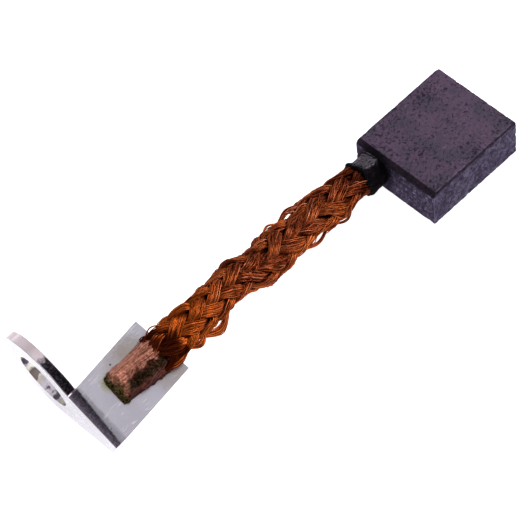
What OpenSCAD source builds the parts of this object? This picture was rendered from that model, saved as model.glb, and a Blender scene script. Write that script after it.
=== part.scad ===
// Carbon brush with a braided copper lead and a bent ring terminal.
// A pressed copper-graphite block holds one end of the lead in a blind hole, tamped with cement.
// The lead is a round braid of sixteen wire bundles. Its other end is pressed into a slug, which
// is welded on the flag of a tinned sheet terminal.
// +X runs from the terminal to the running face of the block, and +Z is up. The origin is at the
// middle of the block's underside. The brush lies on that underside and on the edge of its ring.

/* [Block] */
// Length of the block, from the lead's end to the running face
block_length = 16.2; // [12:0.1:24]
// Width of the block
block_width = 14; // [13:0.1:20]
// Thickness of the block
block_thick = 6.5; // [6:0.1:10]
// Radius of the block's four upright corners
corner_r = 0.2; // [0.1:0.05:1.2]
// Bevel along the top edge where the lead leaves
lead_bevel = 0.7; // [0.2:0.05:1]
// Bevel along the other long edges
edge_bevel = 0.25; // [0.1:0.05:0.6]

/* [Lead seat] */
// Sideways distance from the block's middle to the lead's hole
lead_side = 3.9; // [0:0.1:4]
// Diameter of the blind hole for the lead
seat_d = 4.8; // [4.5:0.1:5.2]
// Depth of the blind hole for the lead
seat_depth = 7.5; // [6.5:0.1:10]
// Diameter of the cement collar around the lead
collar_d = 5.3; // [5.2:0.1:5.8]
// Length of the cement collar outside the block
collar_length = 3.1; // [1.5:0.1:5]
// Rounding of the cement collar's rim
collar_round = 0.35; // [0.1:0.05:0.4]
// Diameter of the pressed copper end that the cement grips
root_d = 4.1; // [3.6:0.1:4.3]
// Depth of the pressed copper end below the block's face
root_depth = 6; // [3:0.1:6.4]

/* [Braided lead] */
// Width of the braid along the middle of the lead
braid_width = 5.3; // [4.8:0.1:6]
// Thickness of the braid along the middle of the lead
braid_thick = 4.3; // [3.8:0.1:5]
// Extra width where the braid lies slack
braid_slack = 0.8; // [0:0.1:1]
// Place along the lead, from slug to collar, where the braid lies slackest
slack_place = 0.66; // [0.3:0.02:0.8]
// Length on which a bundle turns once around the braid, by the slug
slug_end_lay = 29.5; // [24:0.5:44]
// Length on which a bundle turns once around the braid, by the collar, where the braid is drawn out
collar_end_lay = 47; // [30:0.5:56]
// Angle that a bundle takes up, seen from the middle of the braid
bundle_angle = 36; // [26:1:38]
// Thickness of a bundle as a share of the braid's half thickness
bundle_thick = 0.3; // [0.2:0.01:0.32]
// Turn of the braid's columns about its own line at the slug
slug_end_turn = 20; // [-45:1:45]
// Turn of the braid's columns about its own line at the collar
collar_end_turn = -5; // [-45:1:45]
// Length over which the braid narrows at each end
gather_length = 6; // [3:0.1:10]
// How far the lead runs straight on from the slug and from the collar before it curves
lead_stiffness = 8; // [4:0.5:14]
// How far the lead bows to its left in its first half
lead_bow = 0.8; // [0:0.1:1.5]

/* [Welded slug] */
// Width of the slug at its front end
slug_front_width = 4.3; // [3.6:0.1:5]
// Width of the slug where the braid begins
slug_back_width = 5.5; // [5:0.1:6.2]
// Height of the slug above the flag
slug_height = 3.2; // [2.6:0.1:4]
// Length of the slug along the flag
slug_length = 8; // [5:0.1:9]
// Backward lean of the slug's front face, over its height
slug_lean = 1; // [0:0.1:1.5]
// Rounding of the slug's front edges
slug_round = 0.45; // [0.1:0.05:0.6]
// Distance from the terminal's front face to the foot of the slug
slug_start = 4.3; // [3.5:0.1:5]
// Sideways distance from the middle of the terminal's hole to the front of the slug
slug_side = 7.45; // [6.5:0.05:8.5]
// Angle of the slug and the lead to the square of the bend
slug_turn = -2.5; // [-6:0.5:6]

/* [Terminal] */
// Thickness of the terminal's sheet
sheet_thick = 1.4; // [0.8:0.1:1.8]
// Diameter of the hole for the stud
hole_d = 8.4; // [5.3:0.1:9]
// Outer diameter of the ring
ring_d = 14.7; // [13.6:0.1:16]
// Height of the bend's start above the middle of the hole
fold_rise = 6.2; // [5.4:0.1:6.4]
// Inside radius of the bend
bend_r = 0.3; // [0.2:0.1:1]
// Width of the flag
flag_width = 8.9; // [8.4:0.1:10]
// Length of the flag beyond the bend
flag_length = 11.4; // [11:0.1:14]
// Sideways distance from the middle of the hole to the middle of the flag
flag_side = 8.3; // [7.5:0.1:9]
// Angle of the flag to the square of the bend
flag_skew = 5.4; // [0:0.1:8]
// Height of the tongue's free end, from its lower corner to the bend
tongue_height = 5; // [3:0.1:7]

/* [Set of the terminal] */
// Distance along the brush from the cement collar to the middle of the ring
terminal_reach = 51.4; // [48:0.1:60]
// Sideways distance from the lead's hole to the middle of the ring
terminal_side = 6.3; // [4:0.1:8]
// Twist of the terminal about the length of the brush
terminal_twist = 25.4; // [15:0.1:30]
// Upward pitch of the flag towards the block
terminal_pitch = 10.3; // [4:0.1:14]
// Sideways turn of the terminal
terminal_yaw = -4; // [-8:0.1:4]

/* [Hidden] */
$fn = 64;

graphite = "#4b454d";
cement = "#33343a";
copper = "#a6592f";
burnt_copper = "#9c6a56";
tin = "#b9b7c2";

// Bundles that turn each way, and the angle between two of them
carriers = 8;
carrier_step = 360 / carriers;
// The outer bundles lie in columns around the braid, each one carrier step wide. A bundle passes
// over two others in one column and under two in the next, so its layers repeat every two steps.
weave_turns = carriers / 2;
column_start = 0.25;

// Levels and corners of the terminal, from the middle of its hole
bend_outer_r = bend_r + sheet_thick;
flag_top = fold_rise + bend_outer_r;
flag_half = flag_width / 2 / cos(flag_skew);
ring_r = ring_d / 2;
tongue_corner = [-flag_side - flag_half, fold_rise - tongue_height];

// Middle of the ring, set so that the ring's edge touches the surface that the block lies on
rim_x = -block_length / 2 - collar_length;
ring_middle = [rim_x - terminal_reach, lead_side + terminal_side, ring_r * cos(terminal_pitch)];

// The lead's line: a Bezier curve from the back of the slug to the rim of the collar, with its bow
bow_place = 0.31;
slug_ahead = [cos(slug_turn), sin(slug_turn), 0];
slug_foot = [slug_start, -slug_side, flag_top];
lead_first = ring_middle + from_terminal(slug_foot + slug_length * slug_ahead + [0, 0, slug_height / 2]);
lead_ahead = from_terminal(slug_ahead);
lead_up = from_terminal([0, 0, 1]);
lead_last = [rim_x, lead_side, block_thick / 2];
lead_line = [lead_first, lead_first + lead_stiffness * lead_ahead,
             lead_last - [lead_stiffness, 0, 0], lead_last];

// Lengths along the lead, at even steps of the curve, to space the rings evenly
line_steps = 60;
line_table = [for (i = 0, s = 0; i <= line_steps;
                   s = s + norm(on_line((i + 1) / line_steps) - on_line(i / line_steps)), i = i + 1)
              [s, i / line_steps]];
lead_length = line_table[line_steps][0];

// Rings along a bundle and corners around it
bundle_rings = 56;
bundle_sides = 6;
bundle_half = bundle_thick / 2;
// Half of the way from the inner to the outer layer, with room for bundles that cross at a slant
weave_step = 1.32 * bundle_half;
weave_middle = 1 - weave_step - bundle_half;
// Share of a bundle's width by which its leading edge changes layers ahead of its middle
edge_lead = 0.3;
// The braid ends a little inside the slug's back face, and inside the flat of the collar's rim
end_inset = 0.1;
slug_end_size = [slug_back_width, slug_height] - 2 * [end_inset, end_inset];
collar_end_size = (collar_d - 2 * collar_round) * [1, 1];
// How far the slack place reaches each way along the lead, and over how much of that it fades
slack_reach = 0.375;
slack_fade = 0.25;

function turn_x(p, a) = [p.x, p.y * cos(a) - p.z * sin(a), p.y * sin(a) + p.z * cos(a)];
function turn_y(p, a) = [p.x * cos(a) + p.z * sin(a), p.y, p.z * cos(a) - p.x * sin(a)];
function turn_z(p, a) = [p.x * cos(a) - p.y * sin(a), p.x * sin(a) + p.y * cos(a), p.z];
function from_terminal(p) = turn_z(turn_y(turn_x(p, terminal_twist), -terminal_pitch), terminal_yaw);

function unit(v) = v / norm(v);
function mix(a, b, t) = a * (1 - t) + b * t;
// A soft step from 0 to 1
function ease(t) = 0.5 - 0.5 * cos(180 * max(0, min(1, t)));
// A bump with a flat top, 1 in the middle of its cosine and -1 between
function weave(angle) = sin(90 * cos(angle));

function on_line(t) = pow(1 - t, 3) * lead_line[0] + 3 * pow(1 - t, 2) * t * lead_line[1]
    + 3 * (1 - t) * t * t * lead_line[2] + pow(t, 3) * lead_line[3]
    + [0, lead_bow * pow(sin(90 * min(2, t / bow_place)), 2), 0];
function along_line(t) = unit(pow(1 - t, 2) * (lead_line[1] - lead_line[0])
    + 2 * (1 - t) * t * (lead_line[2] - lead_line[1]) + t * t * (lead_line[3] - lead_line[2]));

// Width and thickness of the braid at a length along the lead
function braid_size(s) =
    let (away = abs(s / lead_length - slack_place),
         full = [braid_width + braid_slack * ease((slack_reach - away) / slack_fade), braid_thick])
    mix(mix(slug_end_size, full, ease(s / gather_length)), collar_end_size,
        ease(1 - (lead_length - s) / gather_length));

// Turns that a bundle has made around the braid at a length along the lead
function turns_at(s) = s / slug_end_lay + (1 / collar_end_lay - 1 / slug_end_lay) * s * s / (2 * lead_length);

// One ring of a bundle. Around the braid, columns where the left bundles lie outside alternate with
// columns where the right bundles do, and a bundle changes layers where it passes between columns.
function bundle_ring(way, index, s) =
    let (t = lookup(s, line_table),
         ahead = along_line(t),
         side = unit(cross(ahead, mix(lead_up, [0, 0, 1], t))),
         up = cross(side, ahead),
         size = braid_size(s),
         column = carrier_step * (index + column_start) + way * 360 * turns_at(s))
    [for (k = [0:bundle_sides - 1])
        let (corner = 360 * k / bundle_sides,
             offset = bundle_angle / 2 * cos(corner),
             angle = mix(slug_end_turn, collar_end_turn, t) + column + offset,
             layer = way * weave_step * weave(weave_turns * (column + edge_lead * offset)),
             radius = weave_middle + layer + bundle_half * sin(corner))
        on_line(t) + radius * (side * cos(angle) * size.x + up * sin(angle) * size.y) / 2];

// A cross-section of the slug: flat on the flag and crowned above, leaning back at the front
function slug_ring(x, inset) =
    let (along = x / slug_length,
         width = mix(slug_front_width, slug_back_width, along) - 2 * inset,
         height = slug_height - inset)
    [for (a = [0:12:180])
        let (y = sign(cos(a)) * pow(abs(cos(a)), 0.7) * width / 2,
             z = pow(sin(a), 0.65) * height)
        [x + slug_lean * z / slug_height * (1 - along), y, z]];

// A closed solid through a list of rings that all have the same number of corners.
// The way says which diagonal splits the sides, so that mirrored solids have mirrored faces.
module loft(rings, way = 1) {
    count = len(rings[0]);
    last = len(rings) - 1;
    sides = [for (i = [0:last - 1]) for (j = [0:count - 1])
        let (a = i * count + j, b = i * count + (j + 1) % count, c = a + count, d = b + count)
        for (face = way > 0 ? [[a, c, b], [b, c, d]] : [[a, c, d], [a, d, b]]) face];
    near_end = [for (j = [0:count - 1]) j];
    far_end = [for (j = [count - 1:-1:0]) last * count + j];
    polyhedron([for (ring = rings) each ring], concat(sides, [near_end, far_end]));
}

// Sets a piece at the lead's hole, with +Z into the block
module at_seat() {
    translate([-block_length / 2, lead_side, block_thick / 2]) rotate([0, 90, 0]) children();
}

// Sets a piece at the middle of the terminal's hole, with +X from the front face to the flag
module at_terminal() {
    translate(ring_middle) rotate([terminal_twist, -terminal_pitch, terminal_yaw]) children();
}

module rounded_plan(length, width, r) {
    square([length - 2 * r, width], center = true);
    square([length, width - 2 * r], center = true);
    for (x = [-1, 1]) for (y = [-1, 1])
        translate([x * (length / 2 - r), y * (width / 2 - r)]) circle(r);
}

// A side view of the block, with its own bevel at the upper left corner
module bevelled_side(length, height, bevel, upper_left) {
    x = length / 2;
    polygon([[-x, bevel], [bevel - x, 0], [x - bevel, 0], [x, bevel], [x, height - bevel],
             [x - bevel, height], [upper_left - x, height], [-x, height - upper_left]]);
}

module carbon_block() {
    color(graphite)
    difference() {
        intersection() {
            linear_extrude(block_thick) rounded_plan(block_length, block_width, corner_r);
            rotate([90, 0, 0]) linear_extrude(block_width, center = true)
                bevelled_side(block_length, block_thick, edge_bevel, lead_bevel);
            rotate([90, 0, 90]) linear_extrude(block_length, center = true)
                bevelled_side(block_width, block_thick, edge_bevel, edge_bevel);
        }
        at_seat() cylinder(h = seat_depth, d = seat_d);
    }
}

// The cement fills the hole around and behind the copper end, and stands out as a round collar
module lead_cement() {
    r = collar_d / 2;
    color(cement)
    at_seat() difference() {
        union() {
            cylinder(h = seat_depth, d = seat_d);
            translate([0, 0, -collar_length]) rotate_extrude() {
                square([r - collar_round, collar_length]);
                translate([0, collar_round]) square([r, collar_length - collar_round]);
                translate([r - collar_round, collar_round]) circle(collar_round);
            }
        }
        translate([0, 0, -collar_length]) cylinder(h = collar_length + root_depth, d = root_d);
    }
}

module lead_root() {
    color(copper)
    at_seat() translate([0, 0, -collar_length]) cylinder(h = collar_length + root_depth, d = root_d);
}

// One wire bundle of the braid, turning left (1) or right (-1) over the top of the lead
module bundle(way, index) {
    color(copper)
    loft([for (i = [0:bundle_rings]) bundle_ring(way, index, lead_length * i / bundle_rings)], way);
}

module weld_slug() {
    front_rings = [for (a = [0:30:90]) slug_ring(slug_round * (1 - cos(a)), slug_round * (1 - sin(a)))];
    color(burnt_copper)
    at_terminal() translate(slug_foot) rotate([0, 0, slug_turn])
        loft(concat(front_rings, [for (i = [1:6]) slug_ring(mix(slug_round, slug_length, i / 6), 0)]));
}

// The ring and its tongue: a disc with a straight-sided arm out to the tongue's end
module ring_plate() {
    reach = norm(tongue_corner);
    tangent = atan2(tongue_corner.y, tongue_corner.x) + acos(ring_r / reach);
    linear_extrude(sheet_thick) difference() {
        union() {
            circle(ring_r);
            polygon([[0, 0], ring_r * [cos(tangent), sin(tangent)], tongue_corner,
                     [-flag_side - flag_half, fold_rise], [flag_half - flag_side, fold_rise]]);
        }
        circle(d = hole_d);
    }
}

module bend() {
    translate([bend_outer_r, flag_half - flag_side, fold_rise])
        rotate([90, 0, 0]) linear_extrude(2 * flag_half) intersection() {
            difference() {
                circle(bend_outer_r);
                circle(bend_r);
            }
            translate([-bend_outer_r, 0]) square(bend_outer_r);
        }
}

module flag() {
    ahead = flag_length * [cos(flag_skew), sin(flag_skew)];
    aside = flag_width / 2 * [-sin(flag_skew), cos(flag_skew)];
    translate([bend_outer_r, -flag_side, flag_top - sheet_thick]) linear_extrude(sheet_thick)
        polygon([[0, flag_half], [0, -flag_half], ahead - aside, ahead + aside]);
}

module terminal() {
    color(tin)
    at_terminal() {
        rotate([90, 0, 90]) ring_plate();
        bend();
        flag();
    }
}

carbon_block();
lead_cement();
lead_root();
weld_slug();
terminal();
for (i = [1:carriers]) {
    bundle(1, i);
    bundle(-1, i);
}
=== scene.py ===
"""Dresses the solids of a carbon brush.

The braid's bundles become fine copper wires, the block gets its worn edges and pits, the cement and
the welded slug get their lumps and grooves, and the bent sheet gets its softened edges. All sizes are
metres in the frame of the packed solids.
"""

import math

import bmesh
import bpy
import numpy as np
from mathutils import Matrix, Vector, noise


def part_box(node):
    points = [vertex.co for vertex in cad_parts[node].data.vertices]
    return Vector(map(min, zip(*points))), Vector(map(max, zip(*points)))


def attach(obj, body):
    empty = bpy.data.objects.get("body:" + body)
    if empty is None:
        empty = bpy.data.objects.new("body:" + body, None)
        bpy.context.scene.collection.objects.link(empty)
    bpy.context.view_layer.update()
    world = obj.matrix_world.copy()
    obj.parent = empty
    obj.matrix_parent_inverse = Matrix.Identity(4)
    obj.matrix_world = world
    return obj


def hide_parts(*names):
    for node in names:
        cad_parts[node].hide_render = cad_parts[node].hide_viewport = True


bl_info = {
    "name": "Carbon Brush Dresser",
    "version": (1, 0, 0),
    "blender": (4, 5, 0),
    "location": "View3D > Sidebar > Carbon Brush",
    "description": "Adds wires, wear and materials to the solids of a carbon brush",
    "category": "Object",
}

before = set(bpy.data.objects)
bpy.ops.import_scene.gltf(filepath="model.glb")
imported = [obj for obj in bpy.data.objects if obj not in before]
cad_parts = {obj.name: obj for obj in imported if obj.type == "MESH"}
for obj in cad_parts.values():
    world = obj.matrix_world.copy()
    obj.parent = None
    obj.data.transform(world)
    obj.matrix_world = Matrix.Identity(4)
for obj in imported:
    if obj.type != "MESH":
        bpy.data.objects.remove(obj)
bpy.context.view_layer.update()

MM = 0.001
BODY = "root"
BUNDLES_EACH_WAY = 8


def linear(hex_colour):
    """A linear colour with alpha from an sRGB hex value."""
    parts = [int(hex_colour[i:i + 2], 16) / 255 for i in (1, 3, 5)]
    parts = [p / 12.92 if p <= 0.04045 else ((p + 0.055) / 1.055) ** 2.4 for p in parts]
    return (*parts, 1.0)


def length(name, description, default):
    """A setting for a length in metres."""
    return bpy.props.FloatProperty(
        name=name, description=description, default=default, subtype="DISTANCE", unit="LENGTH", precision=5
    )


def colour(name, description, hex_colour):
    """A setting for a colour, given as an sRGB hex value."""
    return bpy.props.FloatVectorProperty(
        name=name, description=description, default=linear(hex_colour), size=4, min=0.0, max=1.0, subtype="COLOR"
    )


def angle(name, description, degrees):
    """A setting for an angle, given in degrees."""
    return bpy.props.FloatProperty(
        name=name, description=description, default=math.radians(degrees), subtype="ANGLE", unit="ROTATION"
    )


def share(name, description, default):
    """A setting for a share of something."""
    return bpy.props.FloatProperty(name=name, description=description, default=default, min=0.0, subtype="FACTOR")


# ---------------------------------------------------------------- settings


class LeadSettings(bpy.types.PropertyGroup):
    """The braided lead: its line, its weave and its wires"""

    # The wires are likely fewer and thicker than a real lead's, so that each one shows.

    width: length("Width", "Width of the braid along the middle of the lead", 5.3 * MM)
    thick: length("Thickness", "Thickness of the braid along the middle of the lead", 4.3 * MM)
    slack: length("Slack", "Extra width where the braid lies slackest", 0.8 * MM)
    slack_place: share("Slack place", "Place of the slack along the lead, from slug to collar", 0.66)
    slack_reach: share("Slack reach", "How far the slack place reaches each way along the lead", 0.375)
    slack_fade: share("Slack fade", "Over how much of the lead the slack fades", 0.25)
    gather: length("Gather", "Length over which the braid narrows at each end", 6 * MM)
    slug_end_lay: length("Lay at the slug", "Length on which a bundle turns once around, by the slug", 29.5 * MM)
    collar_end_lay: length("Lay at the collar", "Length on which a bundle turns once around, by the collar", 47 * MM)
    bow: length("Bow", "How far the lead bows to its left in its first half", 0.8 * MM)
    bow_place: share("Bow place", "Place of the bow along the lead's curve", 0.31)
    slug_end_turn: angle("Turn at the slug", "Turn of the braid's columns at the slug", 20)
    collar_end_turn: angle("Turn at the collar", "Turn of the braid's columns at the collar", -5)
    bundle_angle: angle("Bundle angle", "Angle that a bundle takes up, seen from the braid's middle", 46)
    bundle_thick: share("Bundle thickness", "Thickness of a bundle as a share of the braid's half", 0.3)
    wires: bpy.props.IntProperty(name="Wires", description="Wires in a bundle", default=42, min=3)
    wire_d: length("Wire diameter", "Diameter of one copper wire", 0.14 * MM)
    wander: share("Wander", "How far a wire wanders across its bundle", 0.62)
    rings: bpy.props.IntProperty(name="Rings", description="Points along each wire", default=124, min=20)
    bright: colour("Bright copper", "Copper where the wires rub bright", "#ab5631")
    rubbed: colour("Rubbed copper", "Pinkish copper of the few wires that are rubbed bare", "#d99a80")
    dull: colour("Dull copper", "Copper browned by air and handling", "#52180a")
    golden: colour("Golden copper", "Copper that keeps a yellower brown in broad patches", "#b65f2e")
    heated: colour("Heated copper", "Copper turned orange by the welding heat", "#cd6420")
    scorched: colour("Scorched copper", "Copper darkened by the welding heat", "#451206")
    sheen: colour("Edge sheen", "Tint of the reflection towards the edge of a wire", "#f3cbbf")
    loop_wander: share("Wander of loose wires", "How far a wire wanders across its loose loop", 0.36)
    loop_rings: bpy.props.IntProperty(name="Rings of loose wires", description="Points along each loose wire",
                                      default=48, min=20)


class BlockSettings(bpy.types.PropertyGroup):
    """The pressed block and the cement that holds the lead"""

    voxel: length("Mesh step", "Size of the block's mesh faces", 0.12 * MM)
    edge_wear: length("Edge wear", "How deep the edges are worn", 0.08 * MM)
    face: colour("Face", "Pressed copper-graphite, on the two large faces", "#6d5a70")
    stain: colour("Stain", "Grey-blue in broad stains on the two large faces", "#54515f")
    side: colour("Side", "Pressed copper-graphite, on the ground sides", "#3a3742")
    pit: colour("Pit", "Shaded pits between the grains", "#1e1722")
    grain: colour("Grain", "Grains that catch the light", "#7d7592")
    cement: colour("Cement", "Tamped cement of the collar", "#151216")
    # the colour of the painted highlight on the collar's upper left, by the block
    cement_highlight: colour("Tamped cement", "Cement pressed smooth by the tamping tool", "#968d9a")
    cement_step: length("Cement mesh step", "Size of the collar's mesh faces", 0.09 * MM)
    sheen: colour("Edge sheen", "Tint of the block's reflection at a low angle", "#cec2dd")
    cement_sheen: colour("Cement's edge sheen", "Tint of the cement's reflection at a low angle", "#b3adb6")


class SlugSettings(bpy.types.PropertyGroup):
    """The pressed and welded end of the lead"""

    voxel: length("Mesh step", "Size of the slug's mesh faces", 0.085 * MM)
    groove: length("Groove depth", "Depth of the grooves between the pressed wires", 0.07 * MM)
    copper: colour("Pressed copper", "Bare pink copper", "#b97a66")
    seam: colour("Seam", "Shade between the pressed wires", "#522820")
    burnt: colour("Burnt copper", "Copper burnt in the weld", "#2c0a06")
    char: colour("Char", "Black in the middle of the burn", "#19120a")
    ash: colour("Ash", "Brown ash on the char", "#4d3a24")
    verdigris: colour("Verdigris", "Green-brown crust on the front end", "#4c3f1c")


class TerminalSettings(bpy.types.PropertyGroup):
    """The bent sheet terminal"""

    twist: angle("Twist", "Twist of the terminal about the length of the brush", 25.4)
    pitch: angle("Pitch", "Upward pitch of the flag towards the block", 10.3)
    yaw: angle("Yaw", "Sideways turn of the terminal", -4)
    edge: length("Edge softening", "Width of the softened edges", 0.09 * MM)
    tin: colour("Tin", "Tinned steel", "#d0cbd8")
    cut: colour("Cut edge", "Tinned steel on the cut edge", "#eedde4")
    scratch: colour("Scratch", "Bright metal in a scratch", "#f2f0f6")
    scorch: colour("Scorch", "Brown scorch beside the weld", "#a5988c")
    verdigris: colour("Verdigris", "Yellow-green stain in front of the weld", "#a8a468")
    spatter: colour("Spatter", "Black spatter of the weld", "#1a1a1d")
    cream: colour("Cream", "Pale patches on the wall of the hole", "#edeada")
    bare: colour("Bare steel", "Steel where the tin is gone, on the bend and the cut edge", "#4f4854")


class StageSettings(bpy.types.PropertyGroup):
    """The floor, the lamp and the camera"""

    floor: colour("Floor", "Matt pale floor", "#f4f4f4")
    glow: share("Glow", "How brightly the floor is lit from below, as a light table is", 1.08)
    lens: bpy.props.FloatProperty(name="Lens", description="Focal length on a 36 mm sensor, in mm", default=276.92,
                                  unit="CAMERA")
    reach: length("Floor reach", "How far the floor reaches each way from the middle", 0.45)
    lamp_size: length("Lamp size", "Side of the square lamp", 0.3)
    lamp_power: bpy.props.FloatProperty(name="Lamp power", description="Power of the lamp", default=2.2,
                                        subtype="POWER", unit="POWER")


SETTINGS = {
    "brush_lead": LeadSettings,
    "brush_block": BlockSettings,
    "brush_slug": SlugSettings,
    "brush_terminal": TerminalSettings,
    "brush_stage": StageSettings,
}


# ---------------------------------------------------------------- nodes

# The nodes that come often, under a short name: Blender's name, settings, the inputs in the order in which
# they are given, and the output that is read.
# A mask rises smoothly from 0 at its low value to its top, or to 1, at its high value; it falls where high is
# the smaller. A noise's scale is features to the millimetre. A multiply-add is the first value times the
# second, plus the third.
KINDS = {
    "mask": ("ShaderNodeMapRange", {"interpolation_type": "SMOOTHSTEP"},
             ("Value", "From Min", "From Max", "To Max"), 0),
    "mix": ("ShaderNodeMix", {"data_type": "RGBA"}, (0, 6, 7), 2),
    "noise": ("ShaderNodeTexNoise", {}, ("Vector", "Scale", "Detail", "Roughness", "Distortion"), "Fac"),
    "scaled": ("ShaderNodeVectorMath", {"operation": "SCALE"}, (0, "Scale"), 0),
    "moved": ("ShaderNodeVectorMath", {"operation": "ADD"}, (0, 1), 0),
}
for operation in ("DISTANCE", "DOT_PRODUCT", "LENGTH"):
    KINDS[operation] = ("ShaderNodeVectorMath", {"operation": operation}, (0, 1), "Value")
for operation in ("ABSOLUTE", "ADD", "COSINE", "DIVIDE", "MAXIMUM", "MINIMUM", "MULTIPLY", "MULTIPLY_ADD", "POWER",
                  "SINE", "SUBTRACT"):
    KINDS[operation] = ("ShaderNodeMath", {"operation": operation}, (0, 1, 2), 0)


def add(tree, kind, *values, read=0, **named):
    """Adds a node with its settings and links, and gives the output that is read from it.

    The kind is a short name from KINDS or Blender's own name. The values go to its inputs in order. A named
    value goes to the input of that name where it starts with a capital, with _ for a space, and is a setting
    where it doesn't.
    """
    name, settings, order, read = KINDS.get(kind, (kind, {}, range(len(values)), read))
    made = tree.nodes.new(name)
    inputs = dict(zip(order, values))
    for key, value in {**settings, **named}.items():
        if key[0].isupper():
            inputs[key.replace("_", " ")] = value
        else:
            setattr(made, key, value)
    for key, value in inputs.items():
        if isinstance(value, bpy.types.NodeSocket):
            tree.links.new(value, made.inputs[key])
        else:
            made.inputs[key].default_value = value
    return made.outputs[read] if made.outputs else None


def joined(tree, kind, first, *others):
    """Joins values two by two, by nodes of one kind."""
    for other in others:
        first = add(tree, kind, first, other)
    return first


def new_material(name):
    """An empty node material with its shader and output."""
    material = bpy.data.materials.new(name)
    material.use_nodes = True
    tree = material.node_tree
    tree.nodes.clear()
    surface = add(tree, "ShaderNodeBsdfPrincipled")
    add(tree, "ShaderNodeOutputMaterial", Surface=surface)
    return material, tree, surface.node


def millimetres(tree):
    """Places on the object in millimetres."""
    return add(tree, "scaled", add(tree, "ShaderNodeTexCoord", read="Object"), 1 / MM)


def grey(value):
    """A neutral tone of a brightness."""
    return (value, value, value, 1.0)


def tinted(tone, share_of_it):
    """A colour made darker or paler."""
    return (*(min(1.0, part * share_of_it) for part in tone[:3]), 1.0)


def mottled(tree, tone, value, low, high, dark, pale):
    """A colour that goes from a dark to a pale share of itself while a value goes from low to high."""
    return add(tree, "mix", add(tree, "mask", value, low, high), tinted(tone, dark), tinted(tone, pale))


def finished(tree, shader, tone, rough, height=None, strength=0.0, depth_mm=0.0):
    """Gives a shader its colour and roughness and, where there is a height, a bump of so many millimetres."""
    tree.links.new(tone, shader.inputs["Base Color"])
    tree.links.new(rough, shader.inputs["Roughness"])
    if height is not None:
        bump = add(tree, "ShaderNodeBump", Height=height, Strength=strength, Distance=depth_mm * MM)
        tree.links.new(bump, shader.inputs["Normal"])


# ---------------------------------------------------------------- materials


def graphite_material(block):
    """Pressed copper-graphite: a dark metallic sheen, with pits between its grains and paler sides."""
    material, tree, shader = new_material("pressed copper graphite")
    place = millimetres(tree)
    x, y, z = add(tree, "ShaderNodeSeparateXYZ", place).node.outputs
    # which way the surface faces: a side, level, or towards the lead
    normal = add(tree, "ShaderNodeNewGeometry", read="Normal")
    facing = add(tree, "ShaderNodeSeparateXYZ", normal).node.outputs
    steep_x, steep_y, steep_z = (add(tree, "ABSOLUTE", part) for part in facing)
    side = add(tree, "mask", steep_z, 0.55, 0.35)
    level = add(tree, "mask", steep_z, 0.84, 0.96)
    to_lead = add(tree, "mask", facing[0], -0.5, -0.8)
    # the pressed grains are about 0.1 mm; the noise starts at 0.4 mm, so that they show, and goes on finer
    grain = add(tree, "noise", place, 2.6, 5.0, 0.75)
    # the two large faces have broad stains
    face = mottled(tree, block.face, grain, 0.35, 0.65, 0.84, 1.16)
    stained = add(tree, "mask", add(tree, "noise", place, 0.28, 3.0), 0.42, 0.6, 0.6)
    face = add(tree, "mix", stained, face, block.stain)
    # the ground sides are mottled, with shaded hollows round the lead
    hollow = add(tree, "mask", add(tree, "noise", place, 1.1, 4.0, 0.7), 0.54, 0.44, 0.62)
    flank = mottled(tree, block.side, add(tree, "noise", place, 1.5, 5.0, 0.72), 0.4, 0.6, 0.5, 2.35)
    flank = add(tree, "mix", add(tree, "MULTIPLY", to_lead, hollow), flank, block.pit)
    tone = add(tree, "mix", side, face, flank)
    # grains catch the light, more of them on the sides, and brighter ones round the lead
    glint = add(tree, "mask", add(tree, "noise", place, 3.7, 3.0, 0.7), 0.56, 0.68, 0.5)
    glint = add(tree, "MULTIPLY", glint, add(tree, "MULTIPLY_ADD", side, 0.7, 0.3))
    tone = add(tree, "mix", glint, tone, block.grain)
    fleck = add(tree, "mask", add(tree, "noise", place, 2.2, 4.0, 0.75, 0.4), 0.57, 0.66, 0.75)
    tone = add(tree, "mix", add(tree, "MULTIPLY", fleck, to_lead), tone, tinted(block.grain, 1.9))
    # pits, large and small, lie thicker towards the lead's end
    thick = add(tree, "MULTIPLY_ADD", x, -0.0022, add(tree, "noise", place, 0.22, 2.0))
    large = add(tree, "MULTIPLY_ADD", thick, 0.22, add(tree, "noise", place, 2.3, 4.0, 0.7, 0.7))
    small = add(tree, "MULTIPLY_ADD", thick, 0.16, add(tree, "noise", place, 4.4, 3.0, 0.6, 0.3))
    pit = add(tree, "MAXIMUM", add(tree, "mask", large, 0.64, 0.71), add(tree, "mask", small, 0.65, 0.71, 0.7))
    tone = add(tree, "mix", add(tree, "MULTIPLY", pit, 0.72), tone, block.pit)
    # painted shade on the bevels, in the pit colour, and a painted highlight on the upright corners, in the grain
    # colour
    painted_bevel_shade = joined(tree, "MULTIPLY", add(tree, "SUBTRACT", 1.0, level), add(tree, "SUBTRACT", 1.0, side), 0.75)
    tone = add(tree, "mix", painted_bevel_shade, tone, block.pit)
    corner = add(tree, "MULTIPLY", add(tree, "mask", steep_x, 0.25, 0.5), add(tree, "mask", steep_y, 0.25, 0.5, 0.3))
    tone = add(tree, "mix", corner, tone, block.grain)
    # darker in the cement's colour on the face around the lead: painted shade where the collar meets the block, over
    # a smear of cement
    off = add(tree, "DISTANCE", add(tree, "ShaderNodeCombineXYZ", Y=y, Z=z), (0.0, RIM.y - 0.3, RIM.z))
    shade_and_smear = add(tree, "MULTIPLY_ADD", add(tree, "noise", place, 0.7, 3.0), 1.6, off)
    shade_and_smear = add(tree, "MULTIPLY", add(tree, "mask", shade_and_smear, 4.9, 3.6, 0.85), add(tree, "mask", facing[0], -0.3, -0.7))
    tone = add(tree, "mix", shade_and_smear, tone, block.cement)
    gloss = add(tree, "MULTIPLY_ADD", grain, 0.25, 0.42)
    finished(tree, shader, tone, gloss, add(tree, "SUBTRACT", grain, pit), 0.7, 0.05)
    shader.inputs["Metallic"].default_value = 0.92
    # graphite dims towards the edge where bare metal would brighten
    shader.inputs["Specular Tint"].default_value = block.sheen
    return material


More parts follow.
